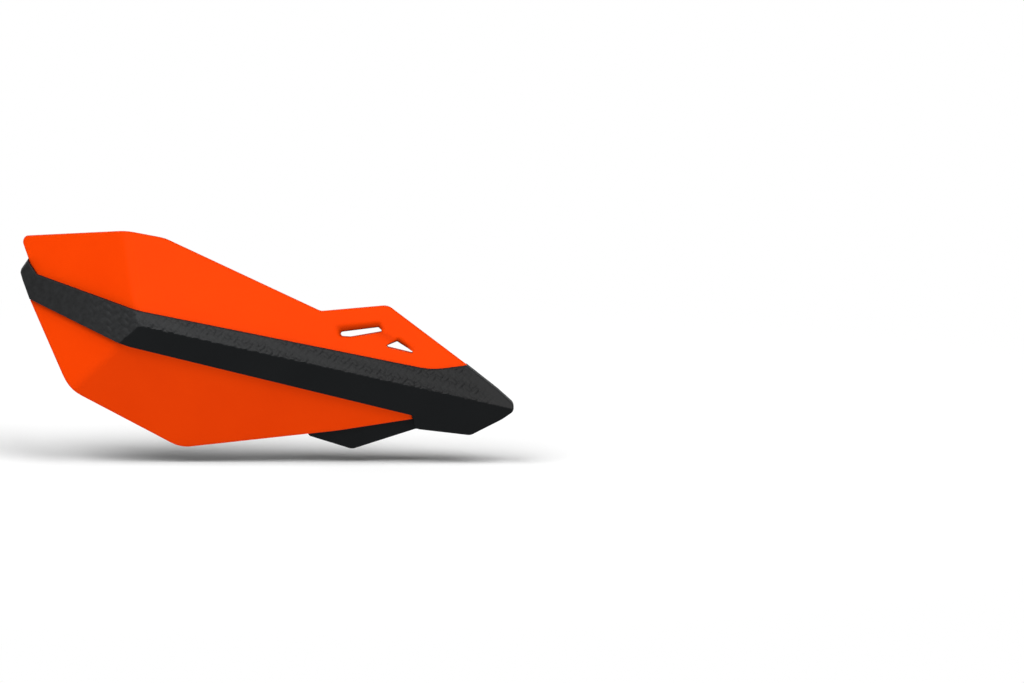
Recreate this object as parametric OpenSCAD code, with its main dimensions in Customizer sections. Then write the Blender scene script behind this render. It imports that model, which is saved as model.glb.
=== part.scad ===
// Motorcycle hand guard: a folded plastic shield that bends around a wide prow,
// with a raised black spine along its ridge, a black nose and a clip round the wing's end.
// Millimetres. X runs along the bar towards the nose, Y towards the rider, Z up.
// The origin is midway between the two bracket bolts, on the seat of their bosses.
// Four folds meet at the prow, the foremost corner, and sizes and corners are measured from it.

/* [Folds] */
// Ridge's end at the nose, along the bar
nose_reach = 185.5; // [175:0.5:195]
// Drop of the ridge from the prow to the nose
nose_drop = 45; // [42:0.5:48]
// How far the nose lies behind the prow
nose_back = 22; // [19:0.5:25]
// Ridge's end at the wing, along the bar
wing_reach = 59.5; // [56:0.5:63]
// Rise of the ridge from the prow to the wing's end
wing_rise = 15.5; // [13:0.5:18]
// How far the wing's end lies behind the prow
wing_back = 47.5; // [44:0.5:51]
// Height of the upper fold's end above the prow
upper_rise = 44; // [40:0.5:48]
// How far the upper fold leans outboard over that height
upper_lean = 7; // [4:0.5:10]
// How far the upper fold's end lies behind the prow
upper_back = 25.5; // [23:0.5:28]
// Drop of the lower fold's end below the prow
lower_drop = 33.5; // [31:0.5:36]
// How far the lower fold's end lies outboard of the prow
lower_lean = 34.5; // [32:0.5:37]
// How far the lower fold's end lies behind the prow
lower_back = 16.5; // [14:0.5:19]
// Outer radius of the shell's folds
fold_r = 8; // [7:0.5:10]

/* [Walls] */
// Thickness of the shell
wall = 3; // [2.5:0.1:3.5]
// Thickness of the black backing behind the shell
backing = 2.5; // [2:0.1:3]
// Thickness of the hollow nose
nose_wall = 3.5; // [3:0.1:4]

/* [Band] */
// Height of the band above the shell's face
lift = 2; // [1.5:0.1:2.5]
// Outer radius of the band's ridge
ridge_r = 1; // [0.6:0.1:1.5]
// Height of the band's upper edge over the prow
band_up = 7.7; // [6.5:0.1:9]
// Drop of the band's lower edge under the prow
band_down = 11.3; // [10:0.1:12.5]

/* [Vents] */
// Length of the slot along its upper edge
slot_len = 19; // [16:0.5:20]
// Clear height of the slot
slot_gap = 2.6; // [2:0.1:3.2]
// Depth of the dish that leads into each vent
dish_depth = 2.3; // [1.5:0.1:2.6]

/* [Bracket bolts] */
// Distance between the two bolts
bolt_gap = 40; // [36:1:42]
// How far the bolts' midpoint lies outboard of the ridge's end at the nose
bolt_back = 55.5; // [54:0.5:57]
// Height of the bolts above the ridge's end at the nose
bolt_rise = 12; // [11:0.5:13]
// How far the seat of the bosses lies behind the ridge's end at the nose
seat_gap = 18; // [17:0.5:22]
// Outer diameter of a boss
boss_d = 16; // [15:0.5:17]
// Tapping diameter inside an insert, for an M6 bolt
thread_d = 5; // [5:0.1:5.1]
// Outer diameter of an insert
insert_d = 8; // [8:0.1:9]
// Length of an insert in its boss
insert_len = 12; // [9:0.5:12]
// Diameter of the insert's flange
flange_d = 11; // [10:0.5:12]
// Thickness of the insert's flange, sunk flush in the boss
flange_t = 1; // [0.8:0.1:1.2]
// Depth of the boss's hole past the insert
hole_spare = 1.5; // [1:0.5:2]
// Thickness of the ribs that brace the bosses
rib_t = 2.5; // [2:0.1:3]

/* [Hidden] */
orange = "#fb4803";
black = "#2b2d2f";
brass = "#c9a24a";
$fn = 48;

// A corner of an outline: its place along the bar and up from the end of a fold, and its radius
function from_nose(x, z, r = 0) = [nose_reach + x, z - nose_drop, r];
function from_wing(x, z, r = 0) = [x - wing_reach, wing_rise + z, r];
function from_upper(x, z, r = 0) = [x - upper_lean, upper_rise + z, r];
function from_lower(x, z, r = 0) = [x - lower_lean, z - lower_drop, r];

// Upper edge of the shell
wing_top = [-wing_reach - 1.4, upper_rise - 7, 3];
crest = from_upper(0, 0, 20);
shoulder = from_upper(19, -4, 20);
saddle = from_nose(-95.5, 48.4, 5);
ear = from_nose(-62, 50, 7);
// Nose
nose_root = from_nose(-22.5, 21);
nose_tip = from_nose(5.1, -0.1, 5);
chin = from_nose(-20.7, -14.2, 5);
notch = from_nose(-48, -11.2, 4);
// Tongue of the backing, below the shell
tongue_low = from_nose(-80, -22.3, 5);
tongue_high = from_nose(-105.5, -13.8);
// Lower edge of the shell
lower_tip = from_nose(-49.5, -5.6);
keel_end = from_nose(-87.5, -12, 120);
keel = from_lower(54, -32.8, 16);
heel = from_lower(-1.4, -0.9, 24);
// Wing's end, under the clip and around it
wing_low = from_wing(3.9, -9.1);
wing_mid = from_wing(7, 4.5);
wing_hip = from_wing(3.6, 9);
clip_top = from_wing(2.5, 10.8);
clip_side = from_wing(-1.4, 5.1, 1.5);
clip_foot = from_wing(-0.2, 1.3, 2);
// Edges of the band
band_top_bend = [-3.7, band_up, 10];
band_top_dip = from_nose(-40, 19.5, 40);
band_low_bend = [-5, -band_down, 12];
band_low_end = from_nose(-50.2, -3.4);

// Outer corner of the slot, and the vents and the rims of their dishes from there
vents = [nose_reach - 85.8, 38.2 - nose_drop];
slot = [
    [-0.2, 0, 0.9], [slot_len, 1.5, 0.4], [slot_len + 2.1, -0.4, 0.4], [5.6, -slot_gap, 3], [1.5, 0.4 - slot_gap, 1.2]
];
slot_rim = [
    [-3.6, 3.8], [slot_len + 1.3, 4.9], [slot_len + 3.3, 0.3], [5.6, 0.2 - slot_gap], [0.4, 0.9 - slot_gap]
];
gill = [[23.3, -7.5, 0.3], [28.4, -5.4, 0.5], [37.4, -11.1, 0.3]];
gill_rim = [[22.9, -7.1], [29.5, -2.9], [39.3, -10.6]];

// Where the bare lower face starts, under the clip
bare_start = from_wing(0.5, -6);
// How far the outlines that only cut run past the guard
spare = 20;
// Where the clip's lip behind the shell ends, and where the backing starts
lip_end = 12.5 - wing_reach;
backing_start = nose_reach - 103.5;
// Gap between the shell's lower tip and the nose
seam = [0.3, 0, 0];

// Place of the bolts from the prow
bolt_x = nose_reach - bolt_back;
bolt_drop = nose_drop - bolt_rise;
seat_back = nose_back + seat_gap;
bolts = [bolt_x - bolt_gap / 2, bolt_x + bolt_gap / 2];
// Where the bosses and the ribs start, inside the backing
boss_root = wall + backing + 0.7;
rib_root = wall + backing - 0.5;
// Drop of the ribs' feet below the prow, and how far the ribs stay short of the seat
rib_foot = nose_drop + 11;
rib_step = 5;

// Rays from the prow along the folds
nose_ray = [nose_reach, nose_back, -nose_drop];
wing_ray = [-wing_reach, wing_back, wing_rise];
upper_ray = [-upper_lean, upper_back, upper_rise];
lower_ray = [-lower_lean, lower_back, -lower_drop];

function unit(v) = v / norm(v);
// Outward normal of the face between two rays
function facing(a, b) = let (n = unit(cross(a, b))) n.y > 0 ? -n : n;
upper_n = facing(nose_ray, upper_ray);
lower_n = facing(nose_ray, lower_ray);
upper_wing_n = facing(wing_ray, upper_ray);
lower_wing_n = facing(wing_ray, lower_ray);
// The band is flat on the wing, between the leans of the two wing faces
band_wing_n = unit(upper_wing_n + lower_wing_n);

// The move that takes three faces inwards by one each
function inset(a, b, c) = -(cross(b, c) + cross(c, a) + cross(a, b)) / (a * cross(b, c));
shell_in = inset(upper_n, lower_n, upper_wing_n);
band_in = inset(upper_n, lower_n, band_wing_n);
// Where two faces meet, pointing to the given side
function fold(a, b, side) = let (d = unit(cross(a, b))) d * side < 0 ? -d : d;
// Length of the band's folds, well past its edges
band_fold = 3 * upper_rise;
// Depth behind the prow, and in front of it, that holds the whole guard
guard_depth = 1.6 * wing_back;
front_spare = 60;
// How many times the shell's rays are lengthened, to run well past its outline
past_nose = 2;
past_upper = 3;
past_wing = 3;
past_lower = 4.5;
// Turn of each step of a corner's arc
arc_step = 8;

// Depth of the upper face behind the prow at a point of the outline
function upper_y(p) = -(upper_n.x * p.x + upper_n.z * p.y) / upper_n.y;
// The same for the lower face
function lower_y(p) = -(lower_n.x * p.x + lower_n.z * p.y) / lower_n.y;
// Depth of the ridge behind the prow
function ridge_y(x) = x * nose_back / nose_reach;

// Points of a corner: the corner itself, or an arc of the given radius
function corner_arc(a, b, c) =
    b.z == 0 ? [[b.x, b.y]] :
    let (
        q = [b.x, b.y],
        u = unit([a.x, a.y] - q),
        v = unit([c.x, c.y] - q),
        half = acos(u * v) / 2,
        centre = q + unit(u + v) * b.z / sin(half),
        from = q + u * b.z / tan(half) - centre,
        to = q + v * b.z / tan(half) - centre,
        start = atan2(from.y, from.x),
        turn = (atan2(to.y, to.x) - start + 540) % 360 - 180,
        steps = max(2, ceil(abs(turn) / arc_step))
    )
    [for (i = [0:steps]) centre + b.z * [cos(start + turn * i / steps), sin(start + turn * i / steps)]];

module outline(corners) {
    n = len(corners);
    polygon([for (i = [0:n - 1]) each corner_arc(corners[(i + n - 1) % n], corners[i], corners[(i + 1) % n])]);
}

// A prism along Y, from in front of the prow to behind the wing's end
module through() {
    translate([0, guard_depth, 0]) rotate([90, 0, 0]) linear_extrude(guard_depth + front_spare) children();
}

// The folded form of the shell, its faces moved inwards by the given depth
module shell_form(depth) {
    rays = [
        [0, 0, 0],
        past_nose * nose_ray,
        past_upper * upper_ray,
        past_wing * wing_ray,
        past_lower * lower_ray
    ];
    hull() for (ray = rays) translate(ray + shell_in * fold_r) sphere(fold_r - depth, $fn = 32);
}

// The sharper form of the band, with three faces, moved outwards by the given height
module band_form(height) {
    rays = [
        [0, 0, 0],
        past_nose * nose_ray,
        past_wing * wing_ray,
        fold(upper_n, band_wing_n, [0, 0, 1]) * band_fold,
        fold(lower_n, band_wing_n, [0, 0, -1]) * band_fold
    ];
    hull() for (ray = rays) translate(ray + band_in * (ridge_r - height)) sphere(ridge_r, $fn = 24);
}

module shell_outline() {
    outline([
        wing_top, crest, shoulder, saddle, ear, nose_root, band_low_end, lower_tip, keel_end,
        keel, heel, wing_low, wing_mid, wing_hip
    ]);
}

// Everything the spine covers, seen from the front, with some to spare behind the shell
module spine_outline() {
    outline([
        clip_top, clip_side, clip_foot, wing_low, from_wing(9.5, -15, 2), band_low_bend - [3, 4.7, 4],
        from_nose(-109.5, 6, 2), tongue_high, tongue_low, notch, chin, nose_tip, nose_root,
        from_nose(-39.5, 25, 3), from_nose(-63.5, 25.5, 6), from_nose(-81.5, 32, 8),
        band_top_bend + [3.7, 3.8, 0], from_wing(9.5, 10.5)
    ]);
}

// The shell's upper and lower faces, which the spine leaves bare
module bare_outline() {
    over = crest.y + spare;
    under = tongue_low.y - spare;
    outline([
        wing_hip, wing_mid, band_top_bend, band_top_dip, nose_root,
        [nose_root.x, over, 0], [wing_top.x, over, 0]
    ]);
    outline([
        bare_start, band_low_bend, band_low_end + seam, lower_tip + seam,
        notch, [notch.x, under, 0], [bare_start.x, under, 0]
    ]);
}

// The stretch where the spine is only a band, with nothing behind the shell
module hollow_outline() {
    translate([lip_end, tongue_low.y - spare])
        square([backing_start - lip_end, crest.y - tongue_low.y + 2 * spare]);
}

module nose_pocket_outline() {
    outline([
        from_nose(-21.5, 15, 2), from_nose(-8.5, 6.5, 3), from_nose(-4.5, 0, 4),
        from_nose(-21.5, -9.5, 2), from_nose(-25.5, -9, 2), from_nose(-24.5, 3, 4)
    ]);
}

// A dish in the upper face, from its rim down to the vent at its floor
module dish(rim, floor) {
    n = len(rim);
    proud = 0.2;
    polyhedron(
        points = concat(
            [for (p = rim) [p.x, upper_y(p) - proud, p.y]],
            [for (p = floor) [p.x, upper_y(p) + dish_depth, p.y]]
        ),
        faces = concat(
            [[for (i = [0:n - 1]) i], [for (i = [0:n - 1]) 2 * n - 1 - i]],
            [for (i = [0:n - 1]) [(i + 1) % n, i, n + i]],
            [for (i = [0:n - 1]) [(i + 1) % n, n + i, n + (i + 1) % n]]
        )
    );
}

// Moves what is given from the prow to the frame of the bolts
module from_prow() {
    translate([-bolt_x, -seat_back, bolt_drop]) children();
}

// Points given from the vents' corner, as seen from the prow
function at_vents(points) = [for (p = points) [p.x, p.y] + vents];

module shell() {
    color(orange) from_prow() difference() {
        shell_blank();
        through() translate(vents) {
            outline(slot);
            outline(gill);
        }
        dish(at_vents(slot_rim), at_vents(slot));
        dish(at_vents(gill_rim), at_vents(gill));
    }
}

// The shell before its vents are cut
module shell_blank() {
    intersection() {
        difference() {
            shell_form(0);
            shell_form(wall);
        }
        through() shell_outline();
    }
}

// One folded skin that lies in front of the shell and behind it
module spine_skin() {
    difference() {
        intersection() {
            band_form(lift);
            through() spine_outline();
        }
        shell_form(wall + backing);
        intersection() {
            through() hollow_outline();
            shell_form(wall / 3);
        }
        intersection() {
            through() nose_pocket_outline();
            band_form(lift - nose_wall);
        }
    }
}

module boss(x) {
    start = ridge_y(x) + boss_root;
    translate([x, start, -bolt_drop]) rotate([-90, 0, 0]) cylinder(h = seat_back - start, d = boss_d);
}

// Upright rib below a boss, its far edge sloping from the boss to the backing
module upright_rib(x) {
    foot = [x, -rib_foot];
    translate([x - rib_t / 2, 0, 0]) rotate([90, 0, 90]) linear_extrude(rib_t) polygon([
        [ridge_y(x) + boss_root, -bolt_drop],
        [seat_back - rib_step, -bolt_drop],
        [seat_back - rib_step, -bolt_drop - boss_d / 2],
        [lower_y(foot) + rib_root, -rib_foot]
    ]);
}

// Flat web between the two bosses
module web() {
    near = bolts[0];
    far = bolts[1];
    translate([0, 0, -bolt_drop - rib_t / 2]) linear_extrude(rib_t) polygon([
        [near, ridge_y(near) + boss_root],
        [far, ridge_y(far) + boss_root],
        [far, seat_back - rib_step],
        [near, seat_back - rib_step]
    ]);
}

// Blind hole for an insert, with the sunk ring for its flange
module insert_hole(x) {
    mouth = 1;
    translate([x, seat_back + mouth, -bolt_drop]) rotate([90, 0, 0]) {
        cylinder(h = mouth + insert_len + hole_spare, d = insert_d);
        cylinder(h = mouth + flange_t, d = flange_d);
    }
}

module spine() {
    color(black) from_prow() difference() {
        union() {
            spine_skin();
            web();
            for (x = bolts) {
                boss(x);
                upright_rib(x);
            }
        }
        // Nothing lies in front of the shell's bare faces
        difference() {
            through() bare_outline();
            shell_form(wall / 2);
        }
        shell_blank();
        for (x = bolts) insert_hole(x);
    }
}

// Threaded insert with a flange, on the given side of the origin
module insert(side) {
    over = 1;
    color(brass) translate([side * bolt_gap / 2, 0, 0]) rotate([90, 0, 0]) difference() {
        union() {
            cylinder(h = insert_len, d = insert_d);
            cylinder(h = flange_t, d = flange_d);
        }
        translate([0, 0, -over]) cylinder(h = insert_len + 2 * over, d = thread_d);
    }
}

module insert_inner() {
    insert(1);
}

module insert_outer() {
    insert(-1);
}

shell();
spine();
insert_inner();
insert_outer();
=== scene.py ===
import math

import bmesh
import bpy
import numpy as np
from mathutils import Matrix, Vector, geometry


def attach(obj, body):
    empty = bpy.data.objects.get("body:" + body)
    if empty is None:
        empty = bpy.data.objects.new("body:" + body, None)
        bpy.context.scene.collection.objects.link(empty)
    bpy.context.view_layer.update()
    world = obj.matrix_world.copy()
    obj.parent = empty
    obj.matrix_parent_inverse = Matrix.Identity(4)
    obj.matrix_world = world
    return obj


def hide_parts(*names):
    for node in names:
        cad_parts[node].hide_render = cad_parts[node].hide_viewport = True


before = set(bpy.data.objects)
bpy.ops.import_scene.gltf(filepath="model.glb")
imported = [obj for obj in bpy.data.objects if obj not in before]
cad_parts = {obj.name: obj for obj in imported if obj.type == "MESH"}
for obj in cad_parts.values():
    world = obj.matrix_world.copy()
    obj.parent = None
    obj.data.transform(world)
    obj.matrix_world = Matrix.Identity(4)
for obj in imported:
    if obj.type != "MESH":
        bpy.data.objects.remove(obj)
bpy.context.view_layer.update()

guard = {
    "prow": (-130.0, -40.0, 33.0),     # seen from midway between the bolts
    "noseRay": (185.5, 22.0, -45.0),   # the folds run from the prow along these four
    "wingRay": (-59.5, 47.5, 15.5),
    "upperRay": (-7.0, 25.5, 44.0),
    "lowerRay": (-34.5, 16.5, -33.5),
    "foldWidth": 3.4,          # rounding of the shell's folds at its face
    "foldTighten": 0.3,        # how much less it is for each millimetre inwards
    "wall": 3.0,
    "backing": 2.5,
    "lift": 2.0,               # of the band over the shell
    "ridgeWidth": 0.3,         # rounding of the band's ridge
    "wingWidth": 0.5,          # and of its fold at the wing
    "bandTilt": 0.2,           # of its face on the wing: 0 as the lower wing, 1 halfway to the upper one
}


# Outlines
arcStep = 7                    # degrees between the points of a rounded corner
leastReach = 0.35              # keeps the offset of a sharp corner short
tiny = 1e-12                   # keeps a division safe


def unit(v):
    return v / np.linalg.norm(v)


def roundCorner(a, b, c):      # the corner itself, or the arc that rounds it
    q = np.array(b[:2], float)
    radius = b[2] if len(b) > 2 else 0
    if radius == 0:
        return [q]
    u, v = unit(np.array(a[:2]) - q), unit(np.array(c[:2]) - q)
    half = math.acos(np.clip(u @ v, -1, 1)) / 2
    centre = q + unit(u + v) * radius / math.sin(half)
    start = q + u * radius / math.tan(half) - centre
    end = q + v * radius / math.tan(half) - centre
    turn = math.atan2(start[0] * end[1] - start[1] * end[0], start @ end)
    first = math.atan2(start[1], start[0])
    steps = max(2, math.ceil(abs(turn) / math.radians(arcStep)))
    angles = [first + turn * i / steps for i in range(steps + 1)]
    return [centre + radius * np.array([math.cos(angle), math.sin(angle)]) for angle in angles]


def outline(corners):
    n = len(corners)
    arcs = [roundCorner(corners[i - 1], corners[i], corners[(i + 1) % n]) for i in range(n)]
    return np.array([p for arc in arcs for p in arc])


def signedArea(loop):
    after = np.roll(loop, -1, axis=0)
    return (loop[:, 0] * after[:, 1] - loop[:, 1] * after[:, 0]).sum() / 2


def divide(loop, pitch):       # straight stretches cut into equal steps
    points = []
    for a, b in zip(loop, np.roll(loop, -1, axis=0)):
        steps = max(1, math.ceil(np.linalg.norm(b - a) / pitch))
        points += [a + (b - a) * i / steps for i in range(steps)]
    return np.array(points)


def leftNormals(edges):
    return np.stack([-edges[:, 1], edges[:, 0]], 1) / np.linalg.norm(edges, axis=1, keepdims=True)


def offsetLoop(loop, distance):        # to the left of the way round
    before = leftNormals(loop - np.roll(loop, 1, axis=0))
    after = leftNormals(np.roll(loop, -1, axis=0) - loop)
    mitre = before + after
    reach = np.clip((mitre * before).sum(1, keepdims=True), leastReach, None)
    return loop + distance * mitre / reach


def inside(points, loop):
    x, z = points[:, 0:1], points[:, 1:2]
    a, b = loop, np.roll(loop, -1, axis=0)
    crosses = (a[:, 1] > z) != (b[:, 1] > z)
    rise = np.where(b[:, 1] == a[:, 1], tiny, b[:, 1] - a[:, 1])
    crossing = a[:, 0] + (z - a[:, 1]) * (b[:, 0] - a[:, 0]) / rise
    return (crosses & (x < crossing)).sum(1) % 2 == 1      # an odd number of edges to its right


def distanceTo(points, loop):
    nearest = np.full(len(points), np.inf)
    for a, b in zip(loop, np.roll(loop, -1, axis=0)):
        edge = b - a
        along = np.clip(((points - a) @ edge) / max(edge @ edge, tiny), 0, 1)
        nearest = np.minimum(nearest, np.linalg.norm(points - a - along[:, None] * edge, axis=1))
    return nearest


# Faces
def faceSlopes(a, b):          # depth = slopes[0] * x + slopes[1] * z on the face between two rays
    n = np.cross(a, b)
    return -n[0] / n[1], -n[2] / n[1]


def slopeNormal(slopes):
    return unit(np.array([slopes[0], -1, slopes[1]]))


upperFace = faceSlopes(guard["noseRay"], guard["upperRay"])
lowerFace = faceSlopes(guard["noseRay"], guard["lowerRay"])
upperWing = faceSlopes(guard["wingRay"], guard["upperRay"])
lowerWing = faceSlopes(guard["wingRay"], guard["lowerRay"])
bandNormal = guard["bandTilt"] * slopeNormal(upperWing) + slopeNormal(lowerWing)
bandWing = (-bandNormal[0] / bandNormal[1], -bandNormal[2] / bandNormal[1])


def ridgeDepth(x):             # of the fold from the prow to the nose
    return x * guard["noseRay"][1] / guard["noseRay"][0]


def ridgeHeight(x):
    return x * guard["noseRay"][2] / guard["noseRay"][0]


def plane(slopes, x, z, inwards):
    return slopes[0] * x + slopes[1] * z + inwards * math.hypot(1, *slopes)


def softMax(a, b, width):      # the larger of two depths, rounded where they meet
    h = np.maximum(width - np.abs(a - b), 0) / width
    return np.maximum(a, b) + h * h * width / 4


def smoothStep(low, high, x):
    t = np.clip((x - low) / (high - low), 0, 1)
    return t * t * (3 - 2 * t)


def shellDepth(x, z, inwards):
    soft = guard["foldWidth"] - guard["foldTighten"] * inwards
    main = softMax(plane(upperFace, x, z, inwards), plane(lowerFace, x, z, inwards), soft)
    wing = softMax(plane(upperWing, x, z, inwards), plane(lowerWing, x, z, inwards), soft)
    return softMax(main, wing, soft)


# Moulded weave of the band
weave = {
    "tow": 2.5,                # width of a tow
    "turn": 45,                # of the tows against the bar
    "bow": 0.5, "dip": 0.75,   # share of its height that a tow loses at its sides, and at its ends
    "height": 0.8,
    "level": 0.7, "swing": 0.3, "swingAlong": 0.31, "swingUp": 0.9,    # its height varies a little
    "noseFade": (4, 16), "noseFadeFrom": 167,  # it ends towards the nose's tip
    "wingHeight": 0.62, "wingStretch": 0.8, "wingFade": (16, 36),      # on the wing, and calm at the clip
    "stepHeight": 0.75, "stepPitch": 6.0,      # small steps along the ridge, where the tows end
    "stepRise": 0.8, "stepDrop": 0.2,          # shares of the pitch
    "stepReach": 2.6, "stepEnd": (170, 184),   # how far they reach up and down, and where they end
    "stepFade": 0.6, "stepFadeOver": (20, 70),         # share of their height that is left towards the nose
}


def twill(x, z):               # height of a two-over-two weave, at most 1
    turn = math.radians(weave["turn"])
    u = (x * math.cos(turn) + z * math.sin(turn)) / weave["tow"]
    v = (z * math.cos(turn) - x * math.sin(turn)) / weave["tow"]
    i, j = np.floor(u), np.floor(v)
    fu, fv = u - i - 0.5, v - j - 0.5
    m = np.mod(i - j, 4)
    warp = m < 2               # else the weft lies on top
    across = np.where(warp, fu, fv)
    along = np.where(warp, 0.5 - m + fv, m - 2.5 + fu)
    return (1 - weave["bow"] * (2 * across) ** 2) * (1 - weave["dip"] * along ** 4)


def upperWeave(x, z):          # how far the weave stands out on the upper face
    calm = weave["level"] + weave["swing"] * np.sin(weave["swingAlong"] * x + weave["swingUp"] * z)
    calm = calm * (1 - smoothStep(*weave["noseFade"], x - weave["noseFadeFrom"] + (z - ridgeHeight(x))))
    return weave["height"] * calm * (twill(x, z) - 0.5)


def wingWeave(x, z):
    calm = 1 - smoothStep(*weave["wingFade"], -x)
    return weave["wingHeight"] * calm * (twill(x * weave["wingStretch"], z) - 0.5)


def ridgeSteps(x, z):          # each rises slowly and drops back
    share = np.mod(x / weave["stepPitch"], 1)
    rising = share < weave["stepRise"]
    rise = np.where(rising, share / weave["stepRise"], (1 - share) / weave["stepDrop"]) - 0.5
    calm = 1 - smoothStep(0, weave["stepReach"], np.abs(z - ridgeHeight(x)))
    calm = calm * (1 - smoothStep(*weave["stepEnd"], x))
    calm = calm * (1 - (1 - weave["stepFade"]) * smoothStep(*weave["stepFadeOver"], x))
    return weave["stepHeight"] * calm * rise


def bandFaces(x, z, height, embossed):         # depths of the upper, wing and lower faces
    upper = plane(upperFace, x, z, -height)
    wing = plane(bandWing, x, z, -height)
    lower = plane(lowerFace, x, z, -height)
    if embossed:
        upper = upper - upperWeave(x, z) - ridgeSteps(x, z)
        wing = wing - wingWeave(x, z)
    return upper, wing, lower


def bandDepth(x, z, height, embossed=False):
    upper, wing, lower = bandFaces(x, z, height, embossed)
    return softMax(softMax(upper, lower, guard["ridgeWidth"]), wing, guard["wingWidth"])


# Meshes
sheetMesh = {
    "roundAngles": (0, 30, 60, 90),    # degrees round a rounded edge
    "holePitch": 0.5,          # pitch along a hole's edge, as a share of the sheet's
    "spacing": 0.5,            # of the inner points from a ring, in pitches
    "thinShare": 0.4,          # of the thickness, the most that one rounding takes
    "mergeWithin": 1e-6,       # points nearer to each other than this are one
}


def newObject(name, points, faces):
    mesh = bpy.data.meshes.new(name)
    mesh.from_pydata([tuple(p) for p in points], [], faces)
    mesh.validate()
    mesh.update()
    obj = bpy.data.objects.new(name, mesh)
    bpy.context.scene.collection.objects.link(obj)
    return obj


def tidy(obj):                 # no loose points, and faces that look outwards
    work = bmesh.new()
    work.from_mesh(obj.data)
    bmesh.ops.delete(work, geom=[v for v in work.verts if not v.link_faces], context="VERTS")
    bmesh.ops.recalc_face_normals(work, faces=work.faces)
    work.to_mesh(obj.data)
    work.free()


def onSheet(points, loops):    # within the outline and outside its holes
    keep = inside(points, loops[0])
    for hole in loops[1:]:
        keep &= ~inside(points, hole)
    return keep


def ringEdges(start, count):
    return [(start + i, start + (i + 1) % count) for i in range(count)]


def sheetRings(loops, guides, widest):         # points of the rings, how far each drops back, and edges
    points, drops, edges = [], [], []
    for loop in loops:
        for angle in (sheetMesh["roundAngles"] if widest > 0 else (90,)):
            edges += ringEdges(len(points), len(loop))
            points += list(offsetLoop(loop, widest * (1 - math.cos(math.radians(angle)))))
            drops += [1 - math.sin(math.radians(angle))] * len(loop)
    for guide in guides:
        edges += ringEdges(len(points), len(guide))
        points += list(guide)
        drops += [0.0] * len(guide)
    return points, drops, edges


def sheetGrid(loops, guides, widest, pitch):   # even points between the rings, in staggered rows
    low, high = loops[0].min(0), loops[0].max(0)
    rows = []
    for j, z in enumerate(np.arange(low[1], high[1], pitch * math.sqrt(0.75))):
        x = np.arange(low[0] + (j % 2) * pitch / 2, high[0], pitch)
        rows.append(np.stack([x, np.full(len(x), z)], 1))
    grid = np.concatenate(rows)
    grid = grid[onSheet(grid, loops)]
    for loop in loops:
        grid = grid[distanceTo(grid, loop) > widest + sheetMesh["spacing"] * pitch]
    for guide in guides:
        grid = grid[distanceTo(grid, guide) > sheetMesh["spacing"] * pitch]
    return grid


def openEdges(triangles):      # those that only one triangle has
    found = {}
    for t in triangles:
        for a, b in ((t[0], t[1]), (t[1], t[2]), (t[2], t[0])):
            if (b, a) in found:
                del found[(b, a)]
            else:
                found[(a, b)] = True
    return list(found)


def sheet(name, loop, front, back, pitch, frontRound=0.0, backRound=0.0, holes=(), guides=()):
    # A closed solid between two depths, over an outline with holes, its edges rounded
    holePitch = pitch * sheetMesh["holePitch"]
    loops = [divide(loop if signedArea(loop) > 0 else loop[::-1], pitch)]
    loops += [divide(hole if signedArea(hole) < 0 else hole[::-1], holePitch) for hole in holes]
    widest = max(frontRound, backRound)
    points, drops, edges = sheetRings(loops, guides, widest)
    grid = sheetGrid(loops, guides, widest, pitch)
    points += list(grid)
    drops += [0.0] * len(grid)
    flat, _, triangles, origin, _, _ = geometry.delaunay_2d_cdt(
        [Vector(p) for p in points], edges, [], 0, sheetMesh["mergeWithin"], True)
    flat = np.array([tuple(p) for p in flat])
    drop = np.array([drops[o[0]] if o else 0.0 for o in origin])
    triangles = np.array([tuple(t) for t in triangles])
    triangles = triangles[onSheet(flat[triangles].mean(1), loops)]
    x, z = flat[:, 0], flat[:, 1]
    room = sheetMesh["thinShare"] * (back(x, z) - front(x, z))
    frontPoints = np.stack([x, front(x, z) + np.minimum(frontRound, room) * drop, z], 1)
    backPoints = np.stack([x, back(x, z) - np.minimum(backRound, room) * drop, z], 1)
    n = len(flat)
    faces = [tuple(t) for t in triangles] + [tuple(t[::-1] + n) for t in triangles]
    faces += [(b, a, a + n, b + n) for a, b in openEdges(triangles)]
    obj = newObject(name, np.concatenate([frontPoints, backPoints]), faces)
    tidy(obj)
    return obj


def lathe(name, profile, place, segments=72, threaded=None):   # a profile of (radius, y) turned round Y
    angles = np.linspace(0, 2 * math.pi, segments, endpoint=False)
    points = []
    for radius, y in profile:
        for angle in angles:
            r = threaded(radius, y, angle) if threaded else radius
            points.append((place[0] + r * math.cos(angle), place[1] + y, place[2] + r * math.sin(angle)))
    faces = []
    n = len(profile)
    for k in range(n if threaded else n - 1):      # a threaded piece is a ring, the others have flat ends
        for i in range(segments):
            j, m = (i + 1) % segments, (k + 1) % n
            faces.append((k * segments + i, k * segments + j, m * segments + j, m * segments + i))
    if not threaded:
        faces += [tuple(range(segments)), tuple(range((n - 1) * segments, n * segments))]
    obj = newObject(name, points, faces)
    tidy(obj)
    return obj


def prism(name, corners, axis, thickness, rounding):           # an upright or flat rib with soft edges
    work = bmesh.new()
    ends = []
    for side in (-thickness / 2, thickness / 2):
        ends.append([work.verts.new(np.insert(np.array(c, float), axis, side)) for c in corners])
    n = len(corners)
    work.faces.new(ends[0])
    work.faces.new(ends[1][::-1])
    for i in range(n):
        work.faces.new((ends[0][(i + 1) % n], ends[0][i], ends[1][i], ends[1][(i + 1) % n]))
    bmesh.ops.recalc_face_normals(work, faces=work.faces)
    bmesh.ops.bevel(work, geom=list(work.edges), offset=rounding, segments=2, affect="EDGES")
    mesh = bpy.data.meshes.new(name)
    work.to_mesh(mesh)
    work.free()
    obj = bpy.data.objects.new(name, mesh)
    bpy.context.scene.collection.objects.link(obj)
    return obj


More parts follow.
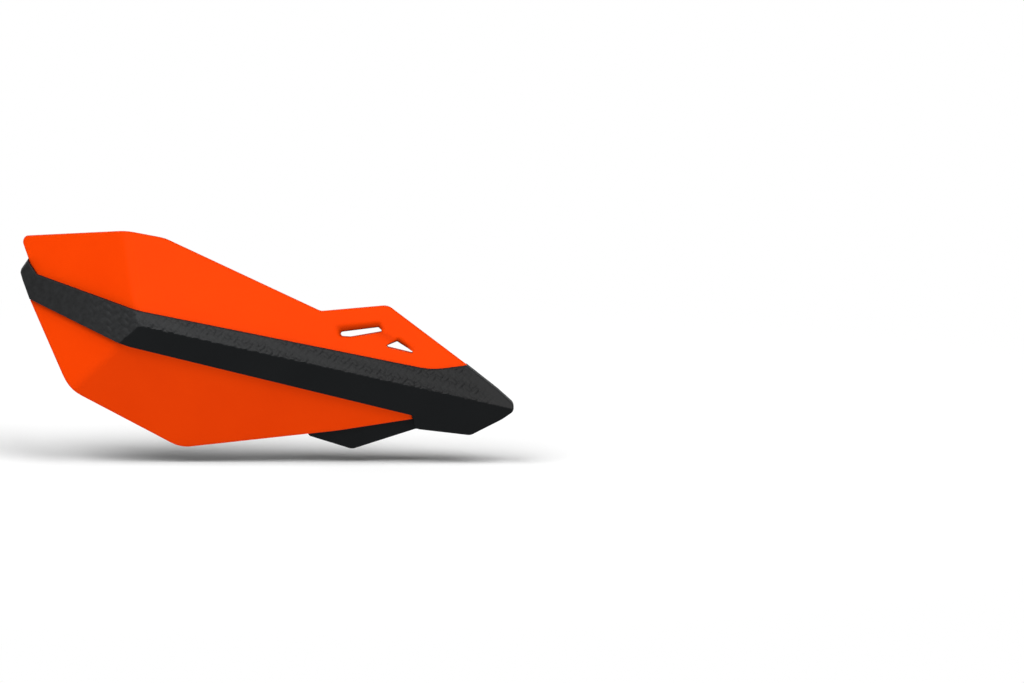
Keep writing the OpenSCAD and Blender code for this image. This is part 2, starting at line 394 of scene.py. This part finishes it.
def applyModifiers(obj):
    graph = bpy.context.evaluated_depsgraph_get()
    mesh = bpy.data.meshes.new_from_object(obj.evaluated_get(graph))
    obj.modifiers.clear()
    obj.data = mesh


def combine(obj, other, operation):
    step = obj.modifiers.new(operation, "BOOLEAN")
    step.operation = operation
    step.solver = "MANIFOLD"
    step.object = other
    applyModifiers(obj)
    bpy.data.objects.remove(other)


def pointsOf(mesh):
    places = np.zeros(len(mesh.vertices) * 3)
    mesh.vertices.foreach_get("co", places)
    return places.reshape(-1, 3)


def storePaintedShade(mesh, values):   # painted shade: share of its colour that each point loses
    mesh.attributes.new("paintedShade", "FLOAT", "POINT").data.foreach_set("value", values)


def toRow(obj):                # from millimetres at the prow to metres at the bolts
    obj.data.transform(Matrix.Scale(0.001, 4) @ Matrix.Translation(guard["prow"]))
    obj.data.update()


def smoothShade(obj, degrees):         # an edge that turns more than this is shown sharp
    for polygon in obj.data.polygons:
        polygon.use_smooth = True
    obj.data.set_sharp_from_angle(angle=math.radians(degrees))


# Materials
textureLook = {
    "grainDetail": 3.0,
    "blotchDetail": 4.0,
    "blotchRange": (0.3, 0.7),         # the noise that gives the dark and the light colour
}


def addGrain(nodes, links, shader, place, look):
    noise = nodes.new("ShaderNodeTexNoise")
    noise.inputs["Scale"].default_value = look["grainScale"]
    noise.inputs["Detail"].default_value = textureLook["grainDetail"]
    bump = nodes.new("ShaderNodeBump")
    bump.inputs["Strength"].default_value = look["grainStrength"]
    bump.inputs["Distance"].default_value = look["grainDepth"]
    links.new(place.outputs["Object"], noise.inputs["Vector"])
    links.new(noise.outputs["Fac"], bump.inputs["Height"])
    links.new(bump.outputs["Normal"], shader.inputs["Normal"])


def addBlotches(nodes, links, shader, place, look):    # slight changes of colour and gloss
    noise = nodes.new("ShaderNodeTexNoise")
    noise.inputs["Scale"].default_value = look["blotchScale"]
    noise.inputs["Detail"].default_value = textureLook["blotchDetail"]
    ramp = nodes.new("ShaderNodeValToRGB")
    first, last = ramp.color_ramp.elements
    first.position, last.position = textureLook["blotchRange"]
    first.color, last.color = (*look["dark"], 1), (*look["light"], 1)
    gloss = nodes.new("ShaderNodeMapRange")
    gloss.inputs["To Min"].default_value, gloss.inputs["To Max"].default_value = look["roughness"]
    links.new(place.outputs["Object"], noise.inputs["Vector"])
    links.new(noise.outputs["Fac"], ramp.inputs["Fac"])
    links.new(ramp.outputs["Color"], shader.inputs["Base Color"])
    links.new(noise.outputs["Fac"], gloss.inputs["Value"])
    links.new(gloss.outputs["Result"], shader.inputs["Roughness"])


def addPaintedShade(nodes, links, shader):    # painted shade: darkens the colour by the mesh's own attribute
    colour = shader.inputs["Base Color"]
    source = colour.links[0].from_socket
    paintedShade = nodes.new("ShaderNodeAttribute")
    paintedShade.attribute_name = "paintedShade"
    mix = nodes.new("ShaderNodeMix")
    mix.data_type = "RGBA"
    mix.blend_type = "MULTIPLY"
    mix.inputs["B"].default_value = (0, 0, 0, 1)
    links.new(paintedShade.outputs["Fac"], mix.inputs["Factor"])
    links.new(source, mix.inputs["A"])
    links.new(mix.outputs["Result"], colour)


def newMaterial(name, look, withPaintedShade=False):
    material = bpy.data.materials.new(name)
    material.use_nodes = True
    nodes, links = material.node_tree.nodes, material.node_tree.links
    shader = nodes["Principled BSDF"]
    shader.inputs["Metallic"].default_value = look["metallic"]
    shader.inputs["Specular IOR Level"].default_value = look["specular"]
    place = nodes.new("ShaderNodeTexCoord")
    addGrain(nodes, links, shader, place, look)
    addBlotches(nodes, links, shader, place, look)
    if withPaintedShade:
        addPaintedShade(nodes, links, shader)
    return material


# Corners of the outlines: x, z and the radius that rounds the corner
wingTop = (-60.9, 37, 3)
crest = (-7, 44, 20)
shoulder = (12, 40, 20)
saddle = (90, 3.4, 5)
ear = (123.5, 5, 7)
noseRoot = (163, -24)
noseBrow = (178.5, -35.85, 20)
noseTip = (188.6, -44.6, 3.6)
noseJaw = (180.5, -50.6, 20)
chin = (164.8, -59.2, 5)
notch = (137.5, -56.2, 4)
frontNotch = (137.3, -55.75, 3)
tongueLow = (105.5, -67.3, 5)
tongueHigh = (84.3, -60.2, 0.4)
lowerTip = (136, -50.6)
keelEnd = (98, -57, 120)
keel = (19.5, -66.3, 16)
heel = (-35.9, -34.4, 24)
wingLow = (-55.8, 6.8)
wingMid = (-52.5, 20)
wingHip = (-55.9, 24.5)
clipTop = (-57, 26.3)
clipSide = (-60.9, 20.6, 1.5)
clipFoot = (-59.7, 16.8, 2)
clipJoin = (-56.1, 7.8, 0.3)
bandTopBend = (-3.7, 7.7, 10)
bandTopDip = (145.5, -25.5, 40)
bandLowBend = (-5, -11.3, 12)
bandLowEnd = (135.3, -48.4)
seam = 0.3                     # gap between the shell's lower tip and the nose

shellCorners = [wingTop, crest, shoulder, saddle, ear, noseRoot, bandLowEnd, lowerTip, keelEnd,
                keel, heel, wingLow, wingMid, wingHip]
noseCorners = [chin, noseJaw, noseTip, noseBrow, noseRoot]


# Shell
shellLook = {
    "pitch": 1.3,
    "edge": 0.7,
    "sharpFrom": 40,
    "dish": 2.6, "dishCurve": 1.7, "dishOver": 0.3,        # hollows that lead into the vents
    "dishPaintedShade": 0.65, "dishPaintedShadeCurve": 0.65,             # painted shade: share of colour lost in them
    "ventRing": 0.9, "ventRingPitch": 0.8,                 # ring of points around each vent
    "step": [(119.8, -5.6), (126.6, -9.2)],
    # the step's last value is the painted shade along it
    "stepDrop": 0.5, "stepWidth": 1.4, "stepReach": 6, "stepRunOut": 3, "stepPaintedShade": 0.2,
    "slot": [(99.1, -6.8, 0.9), (118.7, -5.2, 0.4), (120.8, -7, 0.4), (104.9, -9, 3), (100.7, -8.6, 1.2)],
    "slotRim": [(95.6, -2.6), (120.3, -1.3), (122.2, -6.4), (105, -9.1), (99.5, -8.8)],
    "gill": [(122.6, -14, 0.3), (128.1, -12.1, 0.5), (137.2, -17.8, 0.3)],
    "gillRim": [(122.2, -13.6), (129.2, -9.2), (139.4, -17.2)],
    "metallic": 0.0, "specular": 0.015, "grainScale": 1400, "grainStrength": 0.12, "grainDepth": 0.0002,
    "blotchScale": 22, "dark": (0.75, 0.044, 0.0005), "light": (0.79, 0.05, 0.0007),
    "roughness": (0.4, 0.5),
}


def dishDepth(x, z):           # soft hollows that lead down into the vents
    points = np.stack([x, z], 1)
    depth = np.zeros(len(x))
    for vent, rim in (("slot", "slotRim"), ("gill", "gillRim")):
        hole, edge = outline(shellLook[vent]), outline(shellLook[rim])
        toHole, toRim = distanceTo(points, hole), distanceTo(points, edge)
        near = inside(points, edge) | (toHole < shellLook["dishOver"])
        toHole[inside(points, hole)] = 0
        share = np.where(near, toRim / np.maximum(toHole + toRim, tiny), 0)
        depth = np.maximum(depth, shellLook["dish"] * share ** shellLook["dishCurve"])
    return depth


def stepDepth(x, z):           # shallow step between the two vents, which fades downwards
    a, b = (np.array(p) for p in shellLook["step"])
    ahead = unit(b - a)
    along = (x - a[0]) * ahead[0] + (z - a[1]) * ahead[1]
    below = (x - a[0]) * ahead[1] - (z - a[1]) * ahead[0]
    runOut = shellLook["stepRunOut"]
    ends = smoothStep(-runOut, 0, along) * (1 - smoothStep(0, runOut, along - np.linalg.norm(b - a)))
    fade = 1 - smoothStep(0, shellLook["stepReach"], below)
    return shellLook["stepDrop"] * ends * (smoothStep(0, shellLook["stepWidth"], below) * fade)


def shellFront(x, z):
    return shellDepth(x, z, 0) + np.maximum(dishDepth(x, z), stepDepth(x, z))


def shellBack(x, z):
    return shellDepth(x, z, guard["wall"])


def paintHollowShade(mesh):         # painted shade in the dishes and along the step, where shade would gather
    x, _, z = pointsOf(mesh).T
    dish, step = dishDepth(x, z) / shellLook["dish"], stepDepth(x, z) / shellLook["stepDrop"]
    dishPaintedShade = shellLook["dishPaintedShade"] * dish ** shellLook["dishPaintedShadeCurve"]
    storePaintedShade(mesh, dishPaintedShade + shellLook["stepPaintedShade"] * step)


def makeShell():
    look = shellLook
    vents = [outline(look["slot"]), outline(look["gill"])]
    guides = [divide(offsetLoop(vent[::-1], -look["ventRing"]), look["ventRingPitch"]) for vent in vents]
    shell = sheet("shellPanel", outline(shellCorners), shellFront, shellBack, look["pitch"],
                  look["edge"], look["edge"], vents, guides)
    paintHollowShade(shell.data)
    toRow(shell)
    shell.visible_diffuse = False          # keeps its colour off the floor
    smoothShade(shell, look["sharpFrom"])
    shell.data.materials.append(newMaterial("orangePlastic", look, True))
    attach(shell, "root")
    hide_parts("shell")
    return shell


shell = makeShell()
print("shell", len(shell.data.polygons), "faces")


# Spine
spineLook = {
    "pitch": 0.5, "edge": 0.45,        # of the front, which carries the weave
    "sharpFrom": 35,
    "backPitch": 1.3, "backEdges": (0.3, 0.6),         # rounding at the front and at the back
    "backInset": 0.05,         # keeps the back's edge off the front's
    "backingStart": 82, "backingFoot": -57.2,
    "backingTop": [(146, -20, 3), (122, -19.5, 6), (104, -13, 8), (82, -9.5, 2)],
    "lipPitch": 0.65, "lipEdges": (0, 0.6), "lipSink": 1,
    "lip": [(-56.1, 8, 0.8), (-48, 3.2, 2), (-47, 24.5, 2)],
    "cutPitch": 2.5, "cutDeep": 90.0, "cutLow": -80, "cutHigh": 60,    # well outside the piece
    "lipEnd": -47,
    "bedding": 0.02,           # the band reaches this far into the shell, so that no gap shows
    "pocket": [(164, -30, 2), (177, -38.5, 3), (181, -45, 4),      # the hollow in the nose
               (164, -54.5, 2), (160, -54, 2), (161, -42, 4)],
    "pocketPitch": 1.2, "pocketEdge": 0.8, "noseWall": 3.5,
    "bolts": (110, 150), "boltDrop": 33, "seat": 40,
    "bossRadius": 8, "bossChamfer": 0.5, "bossRoot": 6.2,
    "rib": 2.5, "ribFoot": 56, "ribStep": 5, "ribRoot": 5, "ribEdge": 0.4,
    "holeRadius": 4, "holeDepth": 13.5, "recessRadius": 5.5, "recessDepth": 1,     # for the inserts
    "holeOver": 2,             # how far the cut stands out over the seat
}
smoothBlack = {
    "metallic": 0.0, "specular": 0.02, "grainScale": 1600, "grainStrength": 0.08, "grainDepth": 0.0001,
    "blotchScale": 30, "dark": (0.0088, 0.0096, 0.0102), "light": (0.0105, 0.0113, 0.012),
    "roughness": (0.36, 0.44),
}
weaveBlack = {
    "metallic": 0.0, "specular": 0.125, "grainScale": 1300, "grainStrength": 0.3, "grainDepth": 0.0002,
    "blotchScale": 420, "dark": (0.0095, 0.0099, 0.0104), "light": (0.0185, 0.0193, 0.0202),
    "roughness": (0.38, 0.56),
    "nosePaintedShade": 0.7, "nosePaintedShadeOver": (-10, 180),         # painted shade: share of colour lost towards the nose
    "clipPaintedShade": 0.35, "clipPaintedShadeOver": (0, 60),           # and painted shade towards the clip
    "facing": -0.3, "proud": 1,        # which faces count as the band's front
}


def makeFront():               # band, nose and clip as one skin, deep enough to reach the backing
    tip = [(corner[0] + seam, corner[1]) for corner in (bandLowEnd, lowerTip)]
    loop = outline([clipTop, clipSide, clipFoot, clipJoin, bandLowBend, *tip, frontNotch, *noseCorners,
                    bandTopDip, bandTopBend, wingMid, wingHip])
    deep = guard["wall"] + guard["backing"] / 2
    return sheet("spineMoulding", loop, lambda x, z: bandDepth(x, z, guard["lift"], True),
                 lambda x, z: shellDepth(x, z, deep), spineLook["pitch"], spineLook["edge"])


def makeBack():                # backing with the tongue, behind the shell, and the clip's lip
    look = spineLook
    deep = guard["wall"] + guard["backing"]
    loop = outline([(look["backingStart"], look["backingFoot"]), tongueHigh, tongueLow, notch,
                    *noseCorners, *look["backingTop"]])
    backing = sheet("backing", offsetLoop(loop, look["backInset"]),
                    lambda x, z: shellDepth(x, z, guard["wall"] / 2),
                    lambda x, z: shellDepth(x, z, deep), look["backPitch"], *look["backEdges"])
    lipLoop = outline([clipTop, clipSide, clipFoot, *look["lip"]])
    lip = sheet("lip", offsetLoop(lipLoop, look["backInset"]),
                lambda x, z: shellDepth(x, z, look["lipSink"]),
                lambda x, z: shellDepth(x, z, deep), look["lipPitch"], *look["lipEdges"])
    return backing, lip


def addBosses(spine):          # under each bolt a boss with its rib, and a web between the two
    look = spineLook
    top = look["seat"] - look["ribStep"]
    for x in look["bolts"]:
        start = ridgeDepth(x) + look["bossRoot"]
        profile = [(look["bossRadius"], start), (look["bossRadius"], look["seat"] - look["bossChamfer"]),
                   (look["bossRadius"] - look["bossChamfer"], look["seat"])]
        combine(spine, lathe("boss", profile, (x, 0, -look["boltDrop"])), "UNION")
        foot = plane(lowerFace, x, -look["ribFoot"], 0) + look["ribRoot"]
        corners = [(start, -look["boltDrop"]), (top, -look["boltDrop"]),
                   (top, -look["boltDrop"] - look["bossRadius"]), (foot, -look["ribFoot"])]
        rib = prism("rib", corners, 0, look["rib"], look["ribEdge"])
        rib.data.transform(Matrix.Translation((x, 0, 0)))
        combine(spine, rib, "UNION")
    near, far = look["bolts"]
    corners = [(near, ridgeDepth(near) + look["bossRoot"]), (far, ridgeDepth(far) + look["bossRoot"]),
               (far, top), (near, top)]
    web = prism("web", corners, 2, look["rib"], look["ribEdge"])
    web.data.transform(Matrix.Translation((0, 0, -look["boltDrop"])))
    combine(spine, web, "UNION")


def bedDepth(x, z):            # just under the shell's face, where the band lies
    return shellDepth(x, z, 0) + spineLook["bedding"]


def farBehind(x, z):
    return np.full(len(x), spineLook["cutDeep"])


def cutRoom(spine):            # for the shell, for the hand and inside the nose
    look = spineLook
    groove = sheet("groove", outline(shellCorners), bedDepth, shellBack, look["cutPitch"])
    combine(spine, groove, "DIFFERENCE")
    corners = [(look["lipEnd"], look["cutLow"]), (look["backingStart"], look["cutLow"]),
               (look["backingStart"], look["cutHigh"]), (look["lipEnd"], look["cutHigh"])]
    hollow = sheet("hollow", outline(corners), bedDepth, farBehind, look["cutPitch"])
    combine(spine, hollow, "DIFFERENCE")
    pocket = sheet("pocket", outline(look["pocket"]),
                   lambda x, z: bandDepth(x, z, guard["lift"] - look["noseWall"]),
                   farBehind, look["pocketPitch"], look["pocketEdge"])
    combine(spine, pocket, "DIFFERENCE")


def cutHoles(spine):           # for the inserts
    look = spineLook
    flange = look["seat"] - look["recessDepth"]
    profile = [(look["holeRadius"], look["seat"] - look["holeDepth"]), (look["holeRadius"], flange),
               (look["recessRadius"], flange), (look["recessRadius"], look["seat"] + look["holeOver"])]
    for x in look["bolts"]:
        combine(spine, lathe("hole", profile, (x, 0, -look["boltDrop"])), "DIFFERENCE")


def markWeaveAndPaintShade(spine):          # the upper and wing faces of the band have the moulded weave, and the band gets a painted shade
    look = weaveBlack
    mesh = spine.data
    count = len(mesh.polygons)
    centres, normals = np.zeros(count * 3), np.zeros(count * 3)
    mesh.polygons.foreach_get("center", centres)
    mesh.polygons.foreach_get("normal", normals)
    x, y, z = centres.reshape(-1, 3).T
    upper, wing, lower = bandFaces(x, z, guard["lift"], True)
    front = (normals.reshape(-1, 3)[:, 1] < look["facing"]) & (y < shellDepth(x, z, 0) - look["proud"])
    woven = front & (np.maximum(upper, wing) > lower)
    mesh.polygons.foreach_set("material_index", woven.astype(np.int32))
    # painted shade: the band's colour darkens towards the nose and towards the clip
    x = pointsOf(mesh)[:, 0]
    nosePaintedShade = look["nosePaintedShade"] * smoothStep(*look["nosePaintedShadeOver"], x)
    storePaintedShade(mesh, nosePaintedShade + look["clipPaintedShade"] * smoothStep(*look["clipPaintedShadeOver"], -x))


def makeSpine():
    spine = makeFront()
    for piece in makeBack():
        combine(spine, piece, "UNION")
    addBosses(spine)
    cutRoom(spine)
    cutHoles(spine)
    spine.data.materials.clear()
    spine.data.materials.append(newMaterial("smoothBlackPlastic", smoothBlack))
    spine.data.materials.append(newMaterial("wovenBlackPlastic", weaveBlack, True))
    markWeaveAndPaintShade(spine)
    toRow(spine)
    smoothShade(spine, spineLook["sharpFrom"])
    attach(spine, "root")
    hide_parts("spine")
    return spine


spine = makeSpine()
print("spine", len(spine.data.polygons), "faces")


# Inserts
insertLook = {
    "radius": 3.98, "length": 12, "flangeRadius": 5.45, "flange": 1, "chamfer": 0.25,
    "boreRadius": 2.5, "threadDepth": 0.5, "threadPitch": 1.0,
    "segments": 64, "samples": 8,      # points round the bore, and along one turn of its thread
    "sharpFrom": 35,
    "metallic": 1.0, "specular": 0.5, "grainScale": 900, "grainStrength": 0.1, "grainDepth": 0.0002,
    "blotchScale": 120, "dark": (0.62, 0.42, 0.16), "light": (0.76, 0.56, 0.26), "roughness": (0.24, 0.4),
}


def threadRadius(radius, y, angle):    # triangular thread on the bore, run out at both ends
    look = insertLook
    if radius > look["boreRadius"]:
        return radius
    turn = (y / look["threadPitch"] + angle / (2 * math.pi)) % 1.0
    fade = float(smoothStep(0, 1, min(-y, y + look["length"]) / look["threadPitch"]))
    return radius + look["threadDepth"] * fade * (1 - abs(2 * turn - 1))


def makeInsert(name, node, x):
    look = insertLook
    rise = look["threadPitch"] / look["samples"]
    outside = [(look["flangeRadius"] - look["chamfer"], 0), (look["flangeRadius"], -look["chamfer"]),
               (look["flangeRadius"], -look["flange"]), (look["radius"], -look["flange"]),
               (look["radius"], -look["length"] + look["chamfer"]),
               (look["radius"] - look["chamfer"], -look["length"])]
    steps = int(look["length"] / rise) + 1
    bore = [(look["boreRadius"], -look["length"] + rise * i) for i in range(steps)]
    place = (x, spineLook["seat"], -spineLook["boltDrop"])
    insert = lathe(name, outside + bore, place, look["segments"], threadRadius)
    toRow(insert)
    smoothShade(insert, look["sharpFrom"])
    insert.data.materials.append(brass)
    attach(insert, "root")
    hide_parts(node)


brass = newMaterial("turnedBrass", insertLook)
makeInsert("brassInsertInner", "insert_inner", spineLook["bolts"][1])
makeInsert("brassInsertOuter", "insert_outer", spineLook["bolts"][0])
print("inserts made")


# Floor and light
studio = {
    "floorDrop": 74.4,         # of the floor below the prow
    "floorSize": 12.0,
    "floorColor": (0.99, 0.99, 0.99),
    "clearCentre": (-0.065, 0.0),      # the floor turns to plain white away from here
    "clearFrom": 0.22, "clearTo": 0.6,
    "worldStrength": 0.13,
    "topStrength": 1.9, "topFrom": (0.38, -0.55, 0.76), "topAngle": 40,        # and again from the left
    "sideStrength": 0.1, "sideFrom": (-0.6, -0.75, 0.2), "sideAngle": 60,
}


def seenDirectly(nodes, links):        # 1 for camera, glossy and transmission rays
    path = nodes.new("ShaderNodeLightPath")
    first = nodes.new("ShaderNodeMath")
    second = nodes.new("ShaderNodeMath")
    first.operation = second.operation = "ADD"
    second.use_clamp = True
    links.new(path.outputs["Is Camera Ray"], first.inputs[0])
    links.new(path.outputs["Is Glossy Ray"], first.inputs[1])
    links.new(first.outputs[0], second.inputs[0])
    links.new(path.outputs["Is Transmission Ray"], second.inputs[1])
    return second.outputs[0]


def makeFloor():
    height = (guard["prow"][2] - studio["floorDrop"]) / 1000
    size = studio["floorSize"] / 2
    floor = newObject("floor", [(-size, -size, height), (size, -size, height), (size, size, height),
                                (-size, size, height)], [(0, 1, 2, 3)])
    material = bpy.data.materials.new("paleFloor")
    material.use_nodes = True
    nodes, links = material.node_tree.nodes, material.node_tree.links
    nodes.clear()
    out = nodes.new("ShaderNodeOutputMaterial")
    matt = nodes.new("ShaderNodeBsdfDiffuse")
    matt.inputs["Color"].default_value = (*studio["floorColor"], 1)
    white = nodes.new("ShaderNodeEmission")
    place = nodes.new("ShaderNodeTexCoord")
    middle = nodes.new("ShaderNodeVectorMath")
    middle.operation = "DISTANCE"
    middle.inputs[1].default_value = (*studio["clearCentre"], height)
    spread = nodes.new("ShaderNodeMapRange")
    spread.interpolation_type = "SMOOTHSTEP"
    spread.inputs["From Min"].default_value = studio["clearFrom"]
    spread.inputs["From Max"].default_value = studio["clearTo"]
    both = nodes.new("ShaderNodeMath")
    both.operation = "MULTIPLY"
    mix = nodes.new("ShaderNodeMixShader")
    links.new(place.outputs["Object"], middle.inputs[0])
    links.new(middle.outputs["Value"], spread.inputs["Value"])
    links.new(spread.outputs["Result"], both.inputs[0])
    links.new(seenDirectly(nodes, links), both.inputs[1])
    links.new(both.outputs[0], mix.inputs["Fac"])
    links.new(matt.outputs[0], mix.inputs[1])
    links.new(white.outputs[0], mix.inputs[2])
    links.new(mix.outputs[0], out.inputs["Surface"])
    floor.data.materials.append(material)


def makeSun(name, strength, origin, angle):
    light = bpy.data.lights.new(name, "SUN")
    light.energy = strength
    light.angle = math.radians(angle)
    lamp = bpy.data.objects.new(name, light)
    lamp.rotation_euler = Vector(origin).to_track_quat("Z", "Y").to_euler()
    bpy.context.scene.collection.objects.link(lamp)


def makeSuns():
    x, y, z = studio["topFrom"]
    makeSun("topRightSun", studio["topStrength"], (x, y, z), studio["topAngle"])
    makeSun("topLeftSun", studio["topStrength"], (-x, y, z), studio["topAngle"])
    makeSun("sideSun", studio["sideStrength"], studio["sideFrom"], studio["sideAngle"])


def makeWorld():
    world = bpy.data.worlds.new("studioWorld")
    bpy.context.scene.world = world
    world.use_nodes = True
    nodes, links = world.node_tree.nodes, world.node_tree.links
    nodes.clear()
    out = nodes.new("ShaderNodeOutputWorld")
    dim = nodes.new("ShaderNodeBackground")
    dim.inputs["Strength"].default_value = studio["worldStrength"]
    dim.inputs["Color"].default_value = (1, 1, 1, 1)
    white = nodes.new("ShaderNodeBackground")
    white.inputs["Color"].default_value = (1, 1, 1, 1)
    mix = nodes.new("ShaderNodeMixShader")
    links.new(seenDirectly(nodes, links), mix.inputs["Fac"])
    links.new(dim.outputs[0], mix.inputs[1])
    links.new(white.outputs[0], mix.inputs[2])
    links.new(mix.outputs[0], out.inputs["Surface"])


makeFloor()
makeSuns()
makeWorld()
print("floor and light made")


# Camera
view = {
    "elevation": 8.0,
    "distance": 8.0,
    "sensor": 36.0,
    "clipEnd": 50.0,
    "frameWidth": 0.512,       # at the guard
    "aim": (185.6, 25.0, -7.87),       # right, away and up from the prow to the picture's middle
}


def makeCamera():
    tilt = math.radians(view["elevation"])
    right, depth, up = (v / 1000 for v in view["aim"])
    ahead = Vector((0, math.cos(tilt), -math.sin(tilt)))
    upwards = Vector((0, math.sin(tilt), math.cos(tilt)))
    aim = Vector(guard["prow"]) / 1000 + Vector((right, 0, 0)) + ahead * depth + upwards * up
    data = bpy.data.cameras.new("camera")
    data.sensor_width = view["sensor"]
    data.lens = view["sensor"] * view["distance"] / view["frameWidth"]
    data.clip_end = view["clipEnd"]
    camera = bpy.data.objects.new("camera", data)
    camera.location = aim - ahead * view["distance"]
    camera.rotation_euler = (math.radians(90) - tilt, 0, 0)
    bpy.context.scene.collection.objects.link(camera)
    bpy.context.scene.camera = camera


makeCamera()
bpy.context.scene.view_settings.view_transform = "Standard"
print("camera made")
